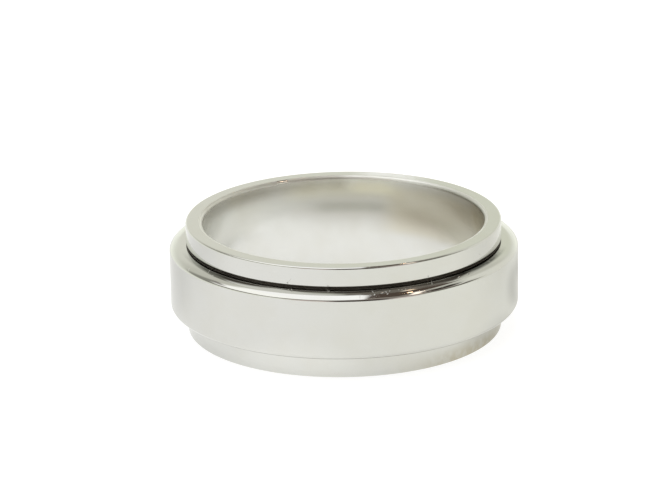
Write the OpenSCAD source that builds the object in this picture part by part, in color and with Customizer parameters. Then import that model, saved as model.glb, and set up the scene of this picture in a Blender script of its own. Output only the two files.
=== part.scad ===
// Spinner ring lying on its side: a flanged base band, and an outer band that turns freely round it.
// The origin is the centre of the face that it rests on, and +Z is the way the finger goes through.

/* [Base band] */
// Diameter of the hole for the finger
bore_d = 20.2; // [15:0.1:24]
// Width of the whole ring, along the finger
ring_w = 8; // [7:0.1:12]
// Thickness of the sleeve that the outer band turns on
sleeve_t = 0.7; // [0.5:0.05:1]
// Thickness of the ring at its two rims, from the hole outwards
rim_t = 1.2; // [1:0.05:2]
// Height of the rim that the ring rests on
lower_rim_h = 1.5; // [1:0.05:2]
// Height of the rim above the outer band
upper_rim_h = 1.35; // [1:0.05:2]
// Rounding along the edges of the hole
bore_edge_r = 0.25; // [0.05:0.01:0.3]
// Rounding along the outer edges of the rims
rim_edge_r = 0.15; // [0.05:0.01:0.3]

/* [Spinner band] */
// How far the outer band stands out past the rims, which is also the width of its shoulders
proud = 1.2; // [0.9:0.05:1.45]
// How far each shoulder falls from the rim's edge to the outer wall
shoulder_drop = 0.52; // [0.42:0.01:0.6]
// Rounding where a shoulder turns into the outer wall
shoulder_edge_r = 0.25; // [0.14:0.01:0.3]

/* [Fits] */
// Radial gap that the outer band runs on
running_gap = 0.05; // [0.02:0.01:0.1]
// Gap under the outer band, where it rests on the lower rim
seat_gap = 0.03; // [0.02:0.01:0.1]
// Play above the outer band
top_play = 0.2; // [0.02:0.01:0.3]

/* [Hidden] */
$fn = 96;

bore_r = bore_d / 2;
sleeve_r = bore_r + sleeve_t;
rim_r = bore_r + rim_t;
spinner_bore_r = sleeve_r + running_gap;
channel_top = ring_w - upper_rim_h;
spinner_z0 = lower_rim_h + seat_gap;
spinner_z1 = channel_top - top_play;

// A shoulder is three arcs that meet smoothly: a wide crown, a bend and a tight edge.
// A slope is the surface's angle to the horizontal, in degrees.
crown_end_slope = 20;
bend_end_slope = 47;
arc_step = 4.5;

// The edge arc's radius is given, and the two others follow from the shoulder's width and drop.
width_left = proud - shoulder_edge_r * (1 - sin(bend_end_slope));
drop_left = shoulder_drop - shoulder_edge_r * cos(bend_end_slope);
crown_across = sin(crown_end_slope);
crown_down = 1 - cos(crown_end_slope);
bend_across = sin(bend_end_slope) - sin(crown_end_slope);
bend_down = cos(crown_end_slope) - cos(bend_end_slope);
arcs_det = crown_across * bend_down - bend_across * crown_down;
crown_r = (width_left * bend_down - drop_left * bend_across) / arcs_det;
bend_r = (drop_left * crown_across - width_left * crown_down) / arcs_det;

// The arcs' centres, measured from the top of the shoulder at the rim's edge
crown_centre = [0, -crown_r];
bend_centre = crown_centre + (crown_r - bend_r) * [sin(crown_end_slope), cos(crown_end_slope)];
edge_centre = bend_centre + (bend_r - shoulder_edge_r) * [sin(bend_end_slope), cos(bend_end_slope)];

// Points along an arc of the outline, from one slope to another, about arc_step apart in slope
function arc_points(centre, r, slope0, slope1) =
    let (n = ceil((slope1 - slope0) / arc_step))
    [for (i = [0 : n])
        let (slope = slope0 + (slope1 - slope0) * i / n)
        centre + r * [sin(slope), cos(slope)]];

// The upper shoulder's outline, from the rim's edge to the outer wall
function shoulder_points() = concat(
    arc_points(crown_centre, crown_r, 0, crown_end_slope),
    arc_points(bend_centre, bend_r, crown_end_slope, bend_end_slope),
    arc_points(edge_centre, shoulder_edge_r, bend_end_slope, 90)
);

// The outer band, with the same shoulder above and below
module spinner_band() {
    shoulder = shoulder_points();
    upper = [for (p = shoulder) [rim_r + p[0], spinner_z1 + p[1]]];
    lower = [for (i = [len(shoulder) - 1 : -1 : 0])
        [rim_r + shoulder[i][0], spinner_z0 - shoulder[i][1]]];
    inner = [[spinner_bore_r, spinner_z0], [spinner_bore_r, spinner_z1]];
    color("gainsboro") rotate_extrude() polygon(concat(inner, upper, lower));
}

// The ring's whole section without the channel, with all four corners rounded
module full_section() {
    inner_x = bore_r + bore_edge_r;
    outer_x = rim_r - rim_edge_r;
    translate([inner_x, 0]) square([outer_x - inner_x, ring_w]);
    translate([bore_r, bore_edge_r]) square([2 * bore_edge_r, ring_w - 2 * bore_edge_r]);
    translate([outer_x - rim_edge_r, rim_edge_r]) square([2 * rim_edge_r, ring_w - 2 * rim_edge_r]);
    for (z = [bore_edge_r, ring_w - bore_edge_r]) translate([inner_x, z]) circle(bore_edge_r);
    for (z = [rim_edge_r, ring_w - rim_edge_r]) translate([outer_x, z]) circle(rim_edge_r);
}

// The inner sleeve with a rim at each end, which keeps the outer band on
module base_band() {
    color("silver") rotate_extrude() difference() {
        full_section();
        translate([sleeve_r, lower_rim_h]) square([rim_t, channel_top - lower_rim_h]);
    }
}

base_band();
spinner_band();
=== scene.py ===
import math
from functools import reduce

import bmesh
import bpy
from mathutils import Matrix, Vector


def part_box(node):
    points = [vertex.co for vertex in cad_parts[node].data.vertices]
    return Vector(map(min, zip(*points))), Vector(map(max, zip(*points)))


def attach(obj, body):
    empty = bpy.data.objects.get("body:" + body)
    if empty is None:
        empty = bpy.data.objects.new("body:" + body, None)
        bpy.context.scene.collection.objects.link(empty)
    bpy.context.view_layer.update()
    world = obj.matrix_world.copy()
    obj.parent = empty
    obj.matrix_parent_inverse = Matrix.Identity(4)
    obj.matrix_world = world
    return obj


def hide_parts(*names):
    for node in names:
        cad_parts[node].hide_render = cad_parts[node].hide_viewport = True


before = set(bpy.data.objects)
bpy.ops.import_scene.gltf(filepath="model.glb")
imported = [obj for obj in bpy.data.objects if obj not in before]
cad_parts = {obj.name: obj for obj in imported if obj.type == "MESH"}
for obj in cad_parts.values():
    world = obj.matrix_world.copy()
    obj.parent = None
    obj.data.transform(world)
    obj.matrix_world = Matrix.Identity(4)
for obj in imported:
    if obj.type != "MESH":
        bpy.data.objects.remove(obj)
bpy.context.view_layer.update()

MM = 0.001


# Sizes, read from the frame where it has them

def radii(node):
    """Smallest and largest radius of a node about the ring's axis."""
    found = [math.hypot(v.co.x, v.co.y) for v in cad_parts[node].data.vertices]
    return min(found), max(found)


BORE_R, RIM_R = radii("base_band")
SPIN_BORE_R, SPIN_R = radii("spinner_band")
RING_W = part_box("base_band")[1].z
SPIN_Z0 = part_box("spinner_band")[0].z
SPIN_Z1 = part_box("spinner_band")[1].z

# The fits between the two bands, and the roundings, as the construction has them
RUNNING_GAP = 0.05 * MM
SEAT_GAP = 0.03 * MM
TOP_PLAY = 0.2 * MM
BORE_EDGE_R = 0.25 * MM
RIM_EDGE_R = 0.15 * MM
SHOULDER_DROP = 0.52 * MM
SHOULDER_EDGE_R = 0.25 * MM
CROWN_END = math.radians(20)
BEND_END = math.radians(47)
# Polishing has broken the remaining corners by this much
EDGE_BREAK = 0.03 * MM
# The bore's wall bulges inwards by this much at mid height
COMFORT = 0.1 * MM

SLEEVE_R = SPIN_BORE_R - RUNNING_GAP
CHANNEL_Z0 = SPIN_Z0 - SEAT_GAP
CHANNEL_Z1 = SPIN_Z1 + TOP_PLAY

# The camera, from a fit of the ring's edges in the photograph
PHOTO_W, PHOTO_H = 667, 500
RING_CENTRE_PX = (344.1, 270.3)
FOCAL_PX = 3211
VIEW_DISTANCE = 231.0 * MM
VIEW_ELEVATION = math.radians(18.79)
VIEW_ROLL = math.radians(0.88)
SENSOR_W = 36


# Outlines: closed loops of (r, z) points, counter-clockwise

# Steps of the shoulders' arcs, and of the small roundings
ARC_STEP = math.radians(3)
CORNER_STEP = math.radians(7.5)
# Points this far past each arc's ends keep the shading of the flats flat
SUPPORT = 0.02 * MM
BORE_ROWS = 24


def arc(centre, radius, start, end, step=CORNER_STEP):
    """Points along an arc, with its angles measured from +r towards +z."""
    steps = round(abs(end - start) / step)
    angles = [start + (end - start) * i / steps for i in range(steps + 1)]
    return [Vector(centre) + radius * Vector((math.cos(a), math.sin(a))) for a in angles]


def rounded_loop(corners):
    """A closed outline of right-angled corners (r, z, rounding)."""
    points = []
    for i, (r, z, rounding) in enumerate(corners):
        here = Vector((r, z))
        way_in = (here - Vector(corners[i - 1][:2])).normalized()
        way_out = (Vector(corners[(i + 1) % len(corners)][:2]) - here).normalized()
        centre = here + (way_out - way_in) * rounding
        start = math.atan2(-way_out.y, -way_out.x)
        turn = math.copysign(math.pi / 2, way_in.cross(way_out))
        points.append(here - way_in * (rounding + SUPPORT))
        points += arc(centre, rounding, start, start + turn)
        points.append(here + way_out * (rounding + SUPPORT))
    return points


def shoulder():
    """A shoulder's three arcs, crown, bend and edge, as offsets from the top of the band at the rim's
    radius, going outwards."""
    # The radii of the crown and the bend make up the width and the drop that the edge leaves to them
    width = SPIN_R - RIM_R - SHOULDER_EDGE_R * (1 - math.sin(BEND_END))
    drop = SHOULDER_DROP - SHOULDER_EDGE_R * math.cos(BEND_END)
    crown_across, crown_down = math.sin(CROWN_END), 1 - math.cos(CROWN_END)
    bend_across = math.sin(BEND_END) - crown_across
    bend_down = math.cos(CROWN_END) - math.cos(BEND_END)
    determinant = crown_across * bend_down - bend_across * crown_down
    crown_r = (width * bend_down - drop * bend_across) / determinant
    bend_r = (drop * crown_across - width * crown_down) / determinant

    up = math.pi / 2
    centre = Vector((0, -crown_r))
    points = arc(centre, crown_r, up, up - CROWN_END, ARC_STEP)
    centre += (crown_r - bend_r) * Vector((math.sin(CROWN_END), math.cos(CROWN_END)))
    points += arc(centre, bend_r, up - CROWN_END, up - BEND_END, ARC_STEP)[1:]
    centre += (bend_r - SHOULDER_EDGE_R) * Vector((math.sin(BEND_END), math.cos(BEND_END)))
    return points + arc(centre, SHOULDER_EDGE_R, up - BEND_END, 0, ARC_STEP)[1:]


def upper_shoulder():
    return [Vector((RIM_R + p.x, SPIN_Z1 + p.y)) for p in shoulder()]


def base_outline():
    """The sleeve with a rim at each end, and its gently bulging bore."""
    points = rounded_loop([
        (BORE_R, 0, BORE_EDGE_R),
        (RIM_R, 0, RIM_EDGE_R),
        (RIM_R, CHANNEL_Z0, EDGE_BREAK),
        (SLEEVE_R, CHANNEL_Z0, EDGE_BREAK),
        (SLEEVE_R, CHANNEL_Z1, EDGE_BREAK),
        (RIM_R, CHANNEL_Z1, EDGE_BREAK),
        (RIM_R, RING_W, RIM_EDGE_R),
        (BORE_R, RING_W, BORE_EDGE_R),
    ])
    high, low = points[-1], points[0]
    for i in range(1, BORE_ROWS):
        t = i / BORE_ROWS
        points.append(high.lerp(low, t) - Vector((4 * COMFORT * t * (1 - t), 0)))
    return points


def spinner_outline():
    """The outer band, with the same shoulder above and below."""
    upper = upper_shoulder()
    lower = [Vector((p.x, SPIN_Z0 + SPIN_Z1 - p.y)) for p in upper]
    bore_x = SPIN_BORE_R + EDGE_BREAK
    down, left, up = 3 * math.pi / 2, math.pi, math.pi / 2
    points = arc((bore_x, SPIN_Z0 + EDGE_BREAK), EDGE_BREAK, left, down)
    points += [Vector((RIM_R - SUPPORT, SPIN_Z0))] + lower
    points += [Vector((SPIN_R, lower[-1].y + SUPPORT)), Vector((SPIN_R, upper[-1].y - SUPPORT))]
    points += upper[::-1] + [Vector((RIM_R - SUPPORT, SPIN_Z1))]
    return points + arc((bore_x, SPIN_Z1 - EDGE_BREAK), EDGE_BREAK, up, left)


# Meshes

SEGMENTS = 512
UV_NAME = "surface"
EDGE_NAME = "edge"
# A rounding of this radius or less counts as a full edge
FULL_EDGE_R = 0.12 * MM


def edge_strength(before, here, after):
    """How tightly the outline turns outwards at a point, from 0 to 1."""
    a, b = here - before, after - here
    turn = math.asin(max(-1, min(1, a.normalized().cross(b.normalized()))))
    return max(0, min(1, turn / (a.length + b.length) * 2 * FULL_EDGE_R))


def lathe(name, outline, slot_of):
    """Turns an outline about the ring's axis. slot_of gives a face's material slot from its middle (r, z).
    The UV map is in millimetres, round the ring and then along the outline."""
    rows = [[] for _ in outline]
    bm = bmesh.new()
    edge = bm.verts.layers.float.new(EDGE_NAME)
    for i, (row, p) in enumerate(zip(rows, outline)):
        strength = edge_strength(outline[i - 1], p, outline[(i + 1) % len(outline)])
        for s in range(SEGMENTS):
            angle = 2 * math.pi * s / SEGMENTS
            row.append(bm.verts.new((p.x * math.sin(angle), p.x * math.cos(angle), p.y)))
            row[-1][edge] = strength
    along = [0.0]
    for a, b in zip(outline, outline[1:] + outline[:1]):
        along.append(along[-1] + (b - a).length)
    mean_r = (min(p.x for p in outline) + max(p.x for p in outline)) / 2
    step = 2 * math.pi * mean_r / SEGMENTS
    uv = bm.loops.layers.uv.new(UV_NAME)
    for k, row in enumerate(rows):
        after = rows[(k + 1) % len(rows)]
        middle = (outline[k] + outline[(k + 1) % len(outline)]) / 2
        for s in range(SEGMENTS):
            t = (s + 1) % SEGMENTS
            face = bm.faces.new((row[s], after[s], after[t], row[t]))
            face.smooth = True
            face.material_index = slot_of(middle)
            places = ((s, k), (s, k + 1), (s + 1, k + 1), (s + 1, k))
            for loop, (u, v) in zip(face.loops, places):
                loop[uv].uv = (u * step / MM, along[v] / MM)
    bmesh.ops.recalc_face_normals(bm, faces=bm.faces)
    return new_object(name, bm)


def new_object(name, bm):
    mesh = bpy.data.meshes.new(name)
    bm.to_mesh(mesh)
    bm.free()
    obj = bpy.data.objects.new(name, mesh)
    bpy.context.scene.collection.objects.link(obj)
    return obj


# Node building

def add(tree, kind, inputs=None, **settings):
    """A node with some of its inputs set or linked, and some of its settings."""
    node = tree.nodes.new(kind)
    for key, value in settings.items():
        setattr(node, key, value)
    for key, value in (inputs or {}).items():
        if isinstance(value, bpy.types.NodeSocket):
            tree.links.new(value, node.inputs[key])
        else:
            node.inputs[key].default_value = value
    return node


def calc(tree, operation, a, b=0.0, c=0.0):
    return add(tree, "ShaderNodeMath", {0: a, 1: b, 2: c}, operation=operation).outputs[0]


def product(tree, *values):
    return reduce(lambda a, b: calc(tree, "MULTIPLY", a, b), values)


def highest(tree, *values):
    return reduce(lambda a, b: calc(tree, "MAXIMUM", a, b), values)


def built_up(tree, start, terms):
    """The start and, for each of the terms, a mask times its amount."""
    total = start
    for mask, amount in terms:
        total = calc(tree, "MULTIPLY_ADD", mask, amount, total)
    return total


def scaled(tree, vector, scale):
    return add(tree, "ShaderNodeVectorMath", {0: vector, 1: scale}, operation="MULTIPLY").outputs[0]


def length(tree, vector):
    return add(tree, "ShaderNodeVectorMath", {0: vector}, operation="LENGTH").outputs["Value"]


def parts(tree, vector):
    """The X, Y and Z of a vector."""
    return add(tree, "ShaderNodeSeparateXYZ", {"Vector": vector}).outputs


def azimuth_at(tree, xyz):
    """Azimuth from the camera's side, to the right, in radians."""
    return calc(tree, "ARCTAN2", xyz["X"], calc(tree, "MULTIPLY", xyz["Y"], -1.0))


def ramp(tree, value, low, high, to_low=0.0, to_high=1.0):
    """A smooth step of value from low to high."""
    node = add(tree, "ShaderNodeMapRange",
               {"Value": value, "From Min": low, "From Max": high, "To Min": to_low, "To Max": to_high},
               interpolation_type="SMOOTHSTEP")
    return node.outputs["Result"]


def between(tree, value, rise, fall, left=0.0):
    """A mask that rises to 1 over one range of value and falls, to what is left, over a second one."""
    return product(tree, ramp(tree, value, *rise), ramp(tree, value, *fall, 1.0, left))


def window(tree, value, limits, soft):
    """1 inside the limits and 0 outside, with soft edges."""
    rise, fall = [(limit - soft / 2, limit + soft / 2) for limit in limits]
    return between(tree, value, rise, fall)


def mix(tree, factor, a, b):
    """A blend of two colours, each a socket or a value."""
    node = add(tree, "ShaderNodeMix", {"Factor": factor}, data_type="RGBA")
    for name, value in (("A", a), ("B", b)):
        socket = next(s for s in node.inputs if s.name == name and s.type == "RGBA")
        if isinstance(value, bpy.types.NodeSocket):
            tree.links.new(value, socket)
        else:
            socket.default_value = (*value, 1)
    return next(s for s in node.outputs if s.type == "RGBA")


def noise(tree, vector, scale, detail):
    node = add(tree, "ShaderNodeTexNoise", {"Vector": vector, "Scale": scale, "Detail": detail})
    return node.outputs["Fac"]


def new_material(name):
    """A material, with its node tree and its shader."""
    material = bpy.data.materials.new(name)
    material.use_nodes = True
    tree = material.node_tree
    return material, tree, tree.nodes["Principled BSDF"]


# The studio: what is round the ring, in directions from it

# Radiance of the white tent near the horizon and high up, and the elevations in degrees that it fades between
TENT_LOW = (1.25, 1.28, 1.16)
TENT_HIGH = (0.82, 0.82, 0.73)
TENT_FADE = (4, 33)
# What a camera sees past the floor
BACKDROP = (1.0, 1.0, 1.0)
# Light that glances round the bore takes many bounces to get out
BOUNCES = 24
# Lower directions count as this high, so that x / z and y / z stay finite
LEAST_HEIGHT = 0.02
# The patches, each over the ones before it: place, slant, first range and softness, second range and
# softness, radiance. A wall patch has its azimuth from the camera's side, to the right, and its elevation,
# in degrees. A ceiling patch has x / z and y / z, and its sides lean by slant: x / z + slant * y / z.
PATCHES = {
    "right_wall": ("wall", 0, (90, 150), 20, (-90, 48), 8, (1.1, 1.1, 1.0)),
    "dim_band": ("wall", 0, (-135, -100), 15, (24, 43), 5, (0.4, 0.4, 0.35)),
    "dark_band": ("wall", 0, (-110, 110), 15, (26, 43), 5, (0.16, 0.14, 0.12)),
    "camera_side": ("wall", 0, (-35, 50), 15, (-90, 30), 5, (0.9, 0.8, 0.75)),
    "camera": ("wall", 0, (-10, 30), 15, (-90, 48), 8, (0.12, 0.1, 0.09)),
    "back_wall": ("ceiling", 0, (-0.8, 0.8), 0.6, (1.9, 4.5), 0.8, (1.0, 1.0, 0.9)),
    "back_right": ("ceiling", 0, (0.0, 0.8), 0.5, (1.9, 4.5), 0.8, (0.92, 0.94, 0.8)),
    "back_spot": ("ceiling", 0, (0.02, 0.08), 0.03, (3.1, 3.5), 0.1, (1.3, 1.3, 1.25)),
    "haze": ("ceiling", 0, (0.0, 1.05), 0.1, (-0.85, 0.2), 0.15, (0.4, 0.36, 0.32)),
    "gap_beside_softbox": ("ceiling", 0, (0.05, 0.45), 0.05, (-0.3, 0.9), 0.05, (0.12, 0.09, 0.07)),
    "gap_on_the_right": ("ceiling", 0, (0.6, 0.85), 0.1, (-0.15, 0.4), 0.1, (0.06, 0.05, 0.04)),
    "strip_light": ("ceiling", 0.4, (0.45, 0.55), 0.05, (-0.4, 0.15), 0.1, (2.1, 1.9, 1.7)),
    "softbox_far": ("ceiling", 0.1, (-1.2, -0.15), 0.3, (-0.8, 0.5), 0.3, (1.65, 1.65, 1.6)),
    "softbox": ("ceiling", 0.1, (-0.45, 0.13), 0.05, (-0.6, 0.6), 0.3, (1.6, 1.6, 1.6)),
    "dim_corner": ("wall", 0, (-135, -110), 10, (42, 46), 3, (0.38, 0.36, 0.34)),
    "lamp": ("ceiling", 0, (0.32, 0.35), 0.01, (0.2, 0.23), 0.01, (30.0, 20.0, 13.0)),
    "lamp_low": ("ceiling", 0, (0.66, 0.76), 0.03, (-0.4, -0.25), 0.05, (3.0, 2.3, 1.7)),
}


def studio_world():
    world = bpy.data.worlds.new("studio")
    world.use_nodes = True
    tree = world.node_tree
    tree.nodes.clear()
    xyz = parts(tree, add(tree, "ShaderNodeTexCoord").outputs["Generated"])
    azimuth = calc(tree, "MULTIPLY", azimuth_at(tree, xyz), math.degrees(1))
    elevation = calc(tree, "MULTIPLY", calc(tree, "ARCSINE", xyz["Z"]), math.degrees(1))
    height = calc(tree, "MAXIMUM", xyz["Z"], LEAST_HEIGHT)
    places = {
        "wall": (azimuth, elevation),
        "ceiling": (calc(tree, "DIVIDE", xyz["X"], height), calc(tree, "DIVIDE", xyz["Y"], height)),
    }
    radiance = mix(tree, ramp(tree, elevation, *TENT_FADE), TENT_LOW, TENT_HIGH)
    for place, slant, first, first_soft, second, second_soft, colour in PATCHES.values():
        a, b = places[place]
        a = calc(tree, "MULTIPLY_ADD", b, slant, a)
        mask = product(tree, window(tree, a, first, first_soft), window(tree, b, second, second_soft))
        radiance = mix(tree, mask, radiance, colour)
    seen = mix(tree, add(tree, "ShaderNodeLightPath").outputs["Is Camera Ray"], radiance, BACKDROP)
    background = add(tree, "ShaderNodeBackground", {"Color": seen})
    add(tree, "ShaderNodeOutputWorld", {"Surface": background.outputs[0]})
    bpy.context.scene.world = world


# A soft lamp above the floor, which reflections leave out
KEY_AT = Vector((-0.1, 0.1, 0.6))
KEY_SIZE = 0.5
KEY_POWER = 1.0


def key_light():
    data = bpy.data.lights.new("key", "AREA")
    data.shape = "DISK"
    data.size = KEY_SIZE
    data.energy = KEY_POWER
    light = bpy.data.objects.new("key", data)
    light.location = KEY_AT
    light.rotation_euler = (-KEY_AT).to_track_quat("-Z", "Y").to_euler()
    light.visible_glossy = False
    bpy.context.scene.collection.objects.link(light)


FLOOR_HALF = 3.0
FLOOR_PAPER = (0.3, 0.3, 0.295, 1)
FLOOR_ROUGHNESS = 0.9
FLOOR_SHINE = 0.1
# The floor is a light table. Its glow fades from the camera's side to the back, over this range of y: painted
# light, brighter in front of the ring.
GLOW_FRONT, GLOW_BACK = 0.95, 0.74
GLOW_FADE = (-12 * MM, 10 * MM)
# It also turns a little dimmer and warmer from left to right, over this range of x: painted shade on the
# side away from the light.
GLOW_LEFT, GLOW_RIGHT = (1.0, 1.005, 1.0), (0.945, 0.95, 0.885)
GLOW_TURN = (-20 * MM, 24 * MM)
# Painted light and shade on the floor: round spots where it is brighter or dimmer, the dim ones standing for
# the ring's shadow: the middle in mm, the share there, and the radii in mm that it fades between
LIGHT_AND_SHADE_SPOTS = (
    ((-5, -13), 1.13, (2, 9)),
    ((12.5, -3), 0.8, (1.5, 6)),
    ((15.5, 7.5), 0.66, (3, 7.5)),
    ((13.5, 15), 0.68, (3, 8)),
    ((-17, 9), 0.86, (5, 12)),
)
# Inside the ring, the floor's glow falls off to the left, over a range of x, and to the front, over a
# range of y: painted shade where the ring's walls shade the floor inside it
LIT = (0.772, 0.777, 0.763)
INSIDE_LEFT_SHADE, LEFT_FADE = (0.34, 0.285, 0.21), (-12.5 * MM, -2.5 * MM)
INSIDE_FRONT_SHADE, FRONT_FADE = (0.4, 0.37, 0.32), (-11.5 * MM, -0.6 * MM)
FULL_SHARE = (1, 1, 1)
# What a camera sees of the glow
GLOW_SEEN = (0.86, 0.86, 0.86)


def floor_glow(tree, place):
    """The colour of the floor's glow at a place, as the ring receives it, with its painted light and shade.
    """
    xyz = parts(tree, place)
    share = ramp(tree, xyz["Y"], *GLOW_FADE, GLOW_FRONT, GLOW_BACK)
    # The spots paint light and shade onto the glow
    for (x, y), spot_share, (near, far) in LIGHT_AND_SHADE_SPOTS:
        away = length(tree, add(tree, "ShaderNodeVectorMath", {0: place, 1: (x * MM, y * MM, 0)},
                                operation="SUBTRACT").outputs[0])
        share = product(tree, share, ramp(tree, away, near * MM, far * MM, spot_share, 1.0))
    tint = mix(tree, ramp(tree, xyz["X"], *GLOW_TURN), GLOW_LEFT, GLOW_RIGHT)
    outside = scaled(tree, tint, share)
    inside = LIT
    # Painted shade inside the ring, towards the left and the front
    for axis, fade, shade_share in (("X", LEFT_FADE, INSIDE_LEFT_SHADE), ("Y", FRONT_FADE, INSIDE_FRONT_SHADE)):
        inside = scaled(tree, mix(tree, ramp(tree, xyz[axis], *fade), shade_share, FULL_SHARE), inside)
    return mix(tree, ramp(tree, length(tree, place), BORE_R, RIM_R), inside, outside)


def pale_floor():
    bm = bmesh.new()
    corners = ((-1, -1), (1, -1), (1, 1), (-1, 1))
    bm.faces.new([bm.verts.new((x * FLOOR_HALF, y * FLOOR_HALF, 0)) for x, y in corners])
    floor = new_object("floor", bm)
    material, tree, shader = new_material("floor_paper")
    shader.inputs["Base Color"].default_value = FLOOR_PAPER
    shader.inputs["Roughness"].default_value = FLOOR_ROUGHNESS
    shader.inputs["Specular IOR Level"].default_value = FLOOR_SHINE
    glow = floor_glow(tree, add(tree, "ShaderNodeTexCoord").outputs["Object"])
    seen = add(tree, "ShaderNodeLightPath").outputs["Is Camera Ray"]
    tree.links.new(mix(tree, seen, glow, GLOW_SEEN), shader.inputs["Emission Color"])
    shader.inputs["Emission Strength"].default_value = 1.0
    floor.data.materials.append(material)


def photo_camera():
    """The photograph's view: the ring's middle lies off the frame's middle, which the shift takes up."""
    data = bpy.data.cameras.new("photo_view")
    data.sensor_width = SENSOR_W
    data.lens = FOCAL_PX / PHOTO_W * SENSOR_W
    data.shift_x = -(RING_CENTRE_PX[0] - PHOTO_W / 2) / PHOTO_W
    data.shift_y = (RING_CENTRE_PX[1] - PHOTO_H / 2) / PHOTO_W
    data.clip_start, data.clip_end = 0.01, 20
    camera = bpy.data.objects.new("photo_view", data)
    back = Vector((0, -math.cos(VIEW_ELEVATION), math.sin(VIEW_ELEVATION)))
    camera.location = Vector((0, 0, RING_W / 2)) + back * VIEW_DISTANCE
    turn = (-back).to_track_quat("-Z", "Y").to_matrix() @ Matrix.Rotation(-VIEW_ROLL, 3, "Z")
    camera.rotation_euler = turn.to_euler()
    bpy.context.scene.collection.objects.link(camera)
    bpy.context.scene.camera = camera


# Nicks and rubbed spots

# Nicks that the photograph shows, listed by the surface that they are on. A row has the azimuth from the
# camera's side, the height on a wall or else the radius, the heading from the way round the ring, the half
# length, the half width and the strength. Angles are in degrees and lengths in mm.
RIM_WALL_NICKS = (
    (-19.2, 6.96, 52, 0.3, 0.025, 0.35),
    (-20.1, 6.74, 80, 0.12, 0.06, 0.8),
    (30.8, 6.74, 95, 0.12, 0.04, 0.9),
    (57.2, 7.12, 30, 0.08, 0.05, 0.5),
    (-5.6, 6.72, 150, 0.12, 0.035, 0.5),
    (-41.0, 7.4, 35, 0.14, 0.02, 0.3),
)
RIM_TOP_NICKS = (
    (12.0, 10.9, 65, 0.12, 0.025, 0.3),
)
SHOULDER_NICKS = (
    (-61.8, 12.31, 138, 0.18, 0.05, 1.0),
    (-53.8, 11.66, 130, 0.28, 0.05, 1.0),
    (-50.0, 11.95, 60, 0.1, 0.03, 0.5),
    (-18.1, 11.66, 115, 0.22, 0.055, 1.0),
    (-21.5, 11.7, 40, 0.08, 0.04, 0.6),
    (-5.5, 11.5, 140, 0.18, 0.05, 0.9),
    (9.4, 11.84, 110, 0.13, 0.06, 1.0),
    (9.6, 12.17, 60, 0.1, 0.05, 0.9),
    (12.3, 12.07, 30, 0.14, 0.075, 1.0),
    (13.6, 11.98, 150, 0.11, 0.06, 1.0),
    (15.1, 11.92, 60, 0.1, 0.06, 1.0),
    (13.9, 12.2, 20, 0.09, 0.04, 0.8),
    (18.2, 11.92, 85, 0.07, 0.045, 0.9),
    (19.3, 11.93, 40, 0.06, 0.045, 0.8),
    (20.6, 11.93, 100, 0.06, 0.045, 0.9),
    (22.4, 11.9, 70, 0.06, 0.04, 0.7),
    (31.1, 11.66, 62, 0.42, 0.045, 1.0),
    (42.0, 11.87, 20, 0.2, 0.05, 1.0),
    (46.7, 11.84, 21, 0.3, 0.05, 1.0),
)
OUTER_WALL_NICKS = (
    (-9.5, 3.85, 30, 0.12, 0.06, 0.12),
    (-22.7, 2.87, 60, 0.07, 0.05, 0.15),
    (-0.3, 4.38, 40, 0.07, 0.05, 0.12),
    (46.8, 5.6, 20, 0.08, 0.04, 0.25),
    (22.0, 4.9, 25, 0.3, 0.015, 0.15),
    (-35.0, 4.6, 150, 0.4, 0.014, 0.15),
)
# Where the bore's edge is rubbed smooth, at the back left: what mark takes, from the azimuth on
BORE_RUBBED = (
    (-153.9, 10.18, 7.88, -45, 0, 0.6, 0.5, 0.66),
)
# How far a mark reaches into and out of the surface, in mm, and the share of its size that it is full to
MARK_REACH = 0.3
MARK_CORE = 0.55


def on_wall(wall_r, nicks):
    """Rows for mark of the nicks on an upright wall."""
    return [(azimuth, wall_r / MM, z, 90, *rest) for azimuth, z, *rest in nicks]


def on_rim_top(nicks):
    return [(azimuth, r, RING_W / MM, 0, *rest) for azimuth, r, *rest in nicks]


def on_shoulder(nicks):
    """Rows for mark of the nicks on the outer band's upper shoulder, whose outline gives z and slope."""
    outline = [p / MM for p in upper_shoulder()]
    rows = []
    for azimuth, r, *rest in nicks:
        a, b = next((a, b) for a, b in zip(outline, outline[1:]) if r < b.x)
        z = a.lerp(b, (r - a.x) / (b.x - a.x)).y
        slope = math.degrees(math.atan2(a.y - b.y, b.x - a.x))
        rows.append((azimuth, r, z, slope, *rest))
    return rows


def mark(tree, at, azimuth, r, z, slope, heading, half_length, half_width, strength):
    """One nick or spot, as a mask from 0 to its strength. Azimuth is from the camera's side; slope is the
    surface's angle to the horizontal, and heading the mark's angle to the way round the ring. Angles are in
    degrees and lengths in mm."""
    azimuth, slope, heading = map(math.radians, (azimuth, slope, heading))
    out = Vector((math.sin(azimuth), -math.cos(azimuth), 0))
    up = Vector((0, 0, 1))
    normal = out * math.sin(slope) + up * math.cos(slope)
    around = Vector((math.cos(azimuth), math.sin(azimuth), 0))
    x_axis = around * math.cos(heading) + normal.cross(around) * math.sin(heading)
    y_axis = normal.cross(x_axis)
    turn = Matrix((x_axis, y_axis, normal)).transposed().to_euler()
    node = add(tree, "ShaderNodeMapping", {
        "Vector": at,
        "Location": out * r + up * z,
        "Rotation": turn,
        "Scale": (half_length, half_width, MARK_REACH),
    }, vector_type="TEXTURE")
    return ramp(tree, length(tree, node.outputs[0]), MARK_CORE, 1.0, strength, 0.0)


# Painted light and shade: filters for the steel's colour

# Where the painted shading begins and ends is given as ranges that it fades over, in radians round the ring
# and in mm. Blotches have the noise's scale, the range of noise that counts, and the share that the faintest
# keep.
UNFILTERED = (1, 1, 1)
BLOTCH_DETAIL = 3.0
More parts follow.
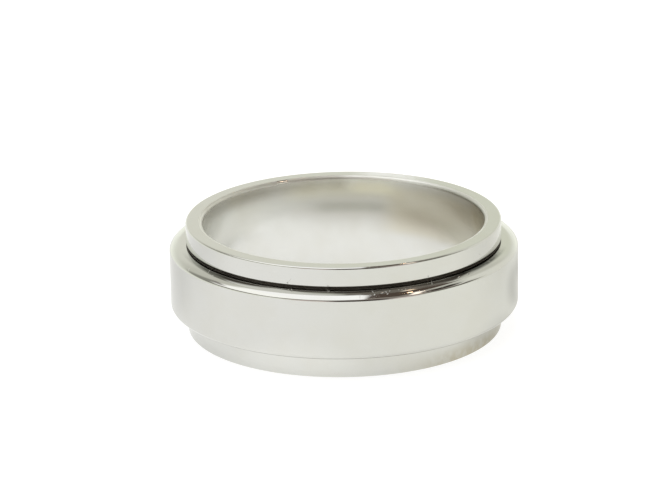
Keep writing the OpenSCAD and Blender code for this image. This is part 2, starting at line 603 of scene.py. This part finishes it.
# Painted shade on the lower rim, strongest at its foot: a brownish darkening to the right, where it reflects
# the floor in the ring's shadow
FOOT_SHADE = (0.74, 0.68, 0.55)
FOOT_SHADE_AROUND = (0.2, 0.9), (1.35, 1.75)
FOOT_SHADE_HEIGHT = (0.1, 1.5)
FOOT_SHADE_MOST = 0.85
FOOT_SHADE_BLOTCHES = (1.6, (0.35, 0.6), 0.6)
# Painted shade on the outer band beside the gap, on both sides of the camera
GAP_SHADE = (0.08, 0.085, 0.07)
GAP_SHADE_ASIDE = (0.62, 0.8), (1.05, 1.4)
GAP_SHADE_LEFT_SHARE, GAP_SHADE_LEFT_FADE = 0.5, (-0.1, 0.1)
GAP_SHADE_RADIUS = (11.66, 11.92)
GAP_SHADE_HEIGHT = (5.0, 6.0)
GAP_SHADE_BLOTCHES = (3.0, (0.3, 0.5), 0.75)
# Painted shade on a stretch of the bore's upper edge, on the right, which it darkens
EDGE_SHADE = (0.47, 0.46, 0.42)
EDGE_SHADE_AROUND = (1.15, 1.45), (2.2, 2.65)
EDGE_SHADE_HEIGHT = (7.62, 7.78), (7.76, 7.98)
EDGE_SHADE_TOP_SHARE = 0.25
# Painted light and shade: lighter and darker patches on the bore's far wall, in mm: range and softness of x,
# range and softness of z, and what they let through
BORE_LIGHT_SHADE_PATCHES = (
    ((-12, 0.2), 1.2, (7.0, 9.0), 0.9, (0.83, 0.82, 0.8)),
    ((-4, 3.8), 2.5, (6.5, 7.6), 1.2, (1.02, 1.0, 0.9)),
    ((0.8, 3.6), 1.6, (6.7, 7.6), 0.6, (1.14, 1.13, 1.1)),
    ((3.4, 12), 2.0, (3.8, 7.3), 0.9, (0.99, 0.96, 0.875)),
    ((-1.9, 3.0), 1.5, (5.3, 6.0), 0.6, (0.88, 0.89, 0.87)),
    ((7.0, 12), 1.6, (3.6, 5.4), 0.9, (0.9, 0.9, 0.89)),
    ((-12, -5.8), 2.4, (4.6, 6.7), 1.0, (1.13, 1.13, 1.13)),
)
# They fade in over this range of y
PATCHES_BACK = (-1.0, 3.0)


def blotches(tree, at, scale, limits, least):
    return ramp(tree, noise(tree, at, scale, BLOTCH_DETAIL), *limits, least, 1.0)


def lower_rim_painted_shade(tree, at, xyz):
    """Painted shade: a brownish darkening low on the rim that the ring rests on, to the right."""
    side = between(tree, azimuth_at(tree, xyz), *FOOT_SHADE_AROUND)
    height = ramp(tree, xyz["Z"], *FOOT_SHADE_HEIGHT, FOOT_SHADE_MOST, 0.0)
    mask = product(tree, side, height, blotches(tree, at, *FOOT_SHADE_BLOTCHES))
    return mix(tree, mask, UNFILTERED, FOOT_SHADE)


def gap_painted_shade(tree, at, xyz):
    """Painted shade: a dark band on the outer band beside the upper gap, to the right and less to the left.
    """
    azimuth = azimuth_at(tree, xyz)
    side = between(tree, calc(tree, "ABSOLUTE", azimuth), *GAP_SHADE_ASIDE)
    side = product(tree, side, ramp(tree, azimuth, *GAP_SHADE_LEFT_FADE, GAP_SHADE_LEFT_SHARE, 1.0))
    radius = length(tree, scaled(tree, at, (1, 1, 0)))
    strip = product(tree, ramp(tree, radius, *GAP_SHADE_RADIUS, 1.0, 0.0), ramp(tree, xyz["Z"], *GAP_SHADE_HEIGHT))
    mask = product(tree, side, strip, blotches(tree, at, *GAP_SHADE_BLOTCHES))
    return mix(tree, mask, UNFILTERED, GAP_SHADE)


def bore_painted_patches(tree, at, xyz):
    """Painted light and shade in patches on the bore's far wall, and painted shade on a stretch of its upper
    edge on the right.
    """
    back = ramp(tree, xyz["Y"], *PATCHES_BACK)
    tint = UNFILTERED
    for x_range, x_soft, z_range, z_soft, colour in BORE_LIGHT_SHADE_PATCHES:
        across = window(tree, xyz["X"], x_range, x_soft)
        height = window(tree, xyz["Z"], z_range, z_soft)
        tint = scaled(tree, mix(tree, product(tree, across, height, back), UNFILTERED, colour), tint)
    side = between(tree, azimuth_at(tree, xyz), *EDGE_SHADE_AROUND)
    height = between(tree, xyz["Z"], *EDGE_SHADE_HEIGHT, EDGE_SHADE_TOP_SHARE)
    return scaled(tree, mix(tree, product(tree, side, height), UNFILTERED, EDGE_SHADE), tint)


# Steel

POLISHED = {"colour": (0.56, 0.56, 0.54), "roughness": 0.05, "grain": 0.25, "wear": 1.0}
SATIN = {"colour": (0.75, 0.75, 0.725), "roughness": 0.16, "grain": 0.4, "wear": 0.2, "matt_edge": 0.65}
# Machined steel for the channel: rougher, and its dark colour is painted shade for the slot between the bands
MACHINED_PAINTED_SHADE = {"colour": (0.34, 0.32, 0.29), "roughness": 0.5, "grain": 1.5, "wear": 0.3}
# Worn places are brighter and cloudy ones duller, as shares of the colour
WORN_SHARE, WORN_COVER = 1.06, 0.6
DULLED_SHARE = (0.985, 0.98, 0.965)
# How fast the turned grain changes, per mm round the ring and across it
GRAIN_AROUND, GRAIN_ACROSS = 0.3, 16.0
# The scale of the noise that makes the soft waves, and scales and ranges of those that make cloudy places
# and chipped edges
WAVE_SCALE = 0.42
CLOUDY_SCALE, CLOUDY_RANGE = 0.5, (0.35, 0.75)
CHIPPED_SCALE, CHIPPED_RANGE = 5.0, (0.5, 0.68)
# Hairlines: angle in degrees, how many lie side by side, and how much of them is missing
HAIRLINES = (
    (8, 9.0, 0.56),
    (-27, 7.0, 0.58),
    (84, 8.0, 0.6),
)
HAIRLINE_STRETCH = 0.22
HAIRLINE_WIDTH = 0.012
HAIRLINE_BREAKS = (0.7, 0.9, 1)
HAIRLINE_FADE = 0.06
# What each kind of unevenness adds to the roughness
GRAIN_ROUGH, CLOUDY_ROUGH, SCRATCH_ROUGH, RUB_ROUGH, NICK_ROUGH = 0.1, 0.25, 0.16, 0.12, 0.5
# Heights of the unevenness, in mm
WAVE_HEIGHT, GRAIN_HEIGHT, SCRATCH_DEPTH, NICK_DEPTH = 0.0006, 0.00008, 0.0003, 0.01


def hairlines(tree, uv, angle, fineness, missing):
    """Broken thin scratches that run mostly one way, as a 0 to 1 mask."""
    turned = add(tree, "ShaderNodeVectorRotate", {"Vector": uv, "Angle": math.radians(angle)},
                 rotation_type="Z_AXIS").outputs[0]
    waves = noise(tree, scaled(tree, turned, (HAIRLINE_STRETCH, fineness, 1)), 1.0, 1.0)
    off_line = calc(tree, "ABSOLUTE", calc(tree, "SUBTRACT", waves, 0.5))
    line = ramp(tree, off_line, 0.0, HAIRLINE_WIDTH, 1.0, 0.0)
    broken = noise(tree, scaled(tree, turned, HAIRLINE_BREAKS), 1.0, 2.0)
    return product(tree, line, ramp(tree, broken, missing, missing + HAIRLINE_FADE))


def turned_grain(tree, xyz, along):
    """Noise that is slow round the ring and fast across it, with no seam."""
    turned = add(tree, "ShaderNodeCombineXYZ", {
        "X": calc(tree, "MULTIPLY", xyz["X"], GRAIN_AROUND),
        "Y": calc(tree, "MULTIPLY", xyz["Y"], GRAIN_AROUND),
        "Z": calc(tree, "MULTIPLY", along, GRAIN_ACROSS),
    }).outputs[0]
    return noise(tree, turned, 1.0, 3.0)


def steel(name, colour, roughness, grain, wear, marks=(), rubbed=(), matt_edge=0.0, painted_shading=None):
    """Steel with turned grain, soft waves, hairlines, worn edges and single marks. grain and wear are how
    strong the grain and the scratches are. marks and rubbed list nicks and smoother spots, in rows of what
    mark takes. matt_edge is what a full edge adds to the roughness. painted_shading makes a filter for the
    colour from (tree, at, xyz), in mm, that paints light and shade onto it."""
    material, tree, shader = new_material(name)
    shader.inputs["Metallic"].default_value = 1.0

    at = scaled(tree, add(tree, "ShaderNodeTexCoord").outputs["Object"], (1 / MM, 1 / MM, 1 / MM))
    uv = add(tree, "ShaderNodeUVMap", uv_map=UV_NAME).outputs["UV"]
    xyz = parts(tree, at)
    turning = turned_grain(tree, xyz, parts(tree, uv)["Y"])
    waves = noise(tree, at, WAVE_SCALE, 2.0)
    cloudy = ramp(tree, noise(tree, at, CLOUDY_SCALE, 2.0), *CLOUDY_RANGE)
    scratches = highest(tree, *[hairlines(tree, uv, *row) for row in HAIRLINES])
    edge = add(tree, "ShaderNodeAttribute", attribute_name=EDGE_NAME).outputs["Fac"]
    chipped = ramp(tree, noise(tree, at, CHIPPED_SCALE, 3.0), *CHIPPED_RANGE)
    rub = product(tree, edge, chipped)
    nicks = highest(tree, 0.0, *[mark(tree, at, *row) for row in marks])

    rough = built_up(tree, roughness - GRAIN_ROUGH / 2 * grain, (
        (turning, GRAIN_ROUGH * grain),
        (cloudy, CLOUDY_ROUGH * roughness),
        (scratches, SCRATCH_ROUGH * wear),
        (rub, RUB_ROUGH * wear),
        (nicks, NICK_ROUGH),
        (edge, matt_edge),
    ))
    for row in rubbed:
        rough = product(tree, rough, calc(tree, "SUBTRACT", 1.0, mark(tree, at, *row)))
    tree.links.new(rough, shader.inputs["Roughness"])

    worn = tuple(min(1, c * WORN_SHARE) for c in colour)
    dulled = tuple(c * share for c, share in zip(colour, DULLED_SHARE))
    tint = mix(tree, cloudy, colour, dulled)
    tint = mix(tree, product(tree, highest(tree, scratches, rub), WORN_COVER), tint, worn)
    if painted_shading:
        tint = scaled(tree, tint, painted_shading(tree, at, xyz))
    tree.links.new(tint, shader.inputs["Base Color"])

    height = built_up(tree, 0.0, (
        (waves, WAVE_HEIGHT),
        (turning, GRAIN_HEIGHT * grain),
        (scratches, -SCRATCH_DEPTH * wear),
        (nicks, -NICK_DEPTH),
    ))
    bump = add(tree, "ShaderNodeBump", {"Height": height, "Distance": MM})
    tree.links.new(bump.outputs[0], shader.inputs["Normal"])
    return material


# The two bands

BASE_POLISHED, BASE_SATIN, BASE_MACHINED_PAINTED_SHADE = range(3)
SPINNER_POLISHED, SPINNER_MACHINED_PAINTED_SHADE = range(2)


def base_slot(middle):
    """The bore is satin, the channel is as machined with its dark colour as painted shade, and everything
    else is polished.
    """
    if middle.x < BORE_R + BORE_EDGE_R:
        return BASE_SATIN
    in_channel = CHANNEL_Z0 - EDGE_BREAK < middle.y < CHANNEL_Z1 + EDGE_BREAK
    return BASE_MACHINED_PAINTED_SHADE if in_channel and middle.x < RIM_R - EDGE_BREAK / 2 else BASE_POLISHED


def spinner_slot(middle):
    """What lies in the channel is as machined with its dark colour as painted shade, and the rest is
    polished.
    """
    return SPINNER_MACHINED_PAINTED_SHADE if middle.x < RIM_R - SUPPORT / 2 else SPINNER_POLISHED


RIM_MARKS = on_wall(RIM_R, RIM_WALL_NICKS) + on_rim_top(RIM_TOP_NICKS)
SPINNER_MARKS = on_shoulder(SHOULDER_NICKS) + on_wall(SPIN_R, OUTER_WALL_NICKS)

base = lathe("base_ring", base_outline(), base_slot)
for material in (
    # The polished steel carries the lower rim's painted shade
    steel("polished_steel", **POLISHED, marks=RIM_MARKS, painted_shading=lower_rim_painted_shade),
    # The satin steel carries the bore's painted light and shade
    steel("satin_steel", **SATIN, rubbed=BORE_RUBBED, painted_shading=bore_painted_patches),
    # The machined steel's dark colour is painted shade for the slot
    steel("machined_steel_painted_shade", **MACHINED_PAINTED_SHADE),
):
    base.data.materials.append(material)
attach(base, "base")
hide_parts("base_band")

spinner = lathe("outer_ring", spinner_outline(), spinner_slot)
for material in (
    # The spinner's steel carries the painted shade beside the gap
    steel("spinner_steel", **POLISHED, marks=SPINNER_MARKS, painted_shading=gap_painted_shade),
    # Its machined steel's dark colour is painted shade for the slot
    steel("spinner_machined_painted_shade", **MACHINED_PAINTED_SHADE),
):
    spinner.data.materials.append(material)
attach(spinner, "spinner")
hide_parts("spinner_band")

pale_floor()
studio_world()
key_light()
photo_camera()
bpy.context.scene.view_settings.view_transform = "Standard"
bpy.context.scene.cycles.max_bounces = BOUNCES
bpy.context.scene.cycles.glossy_bounces = BOUNCES
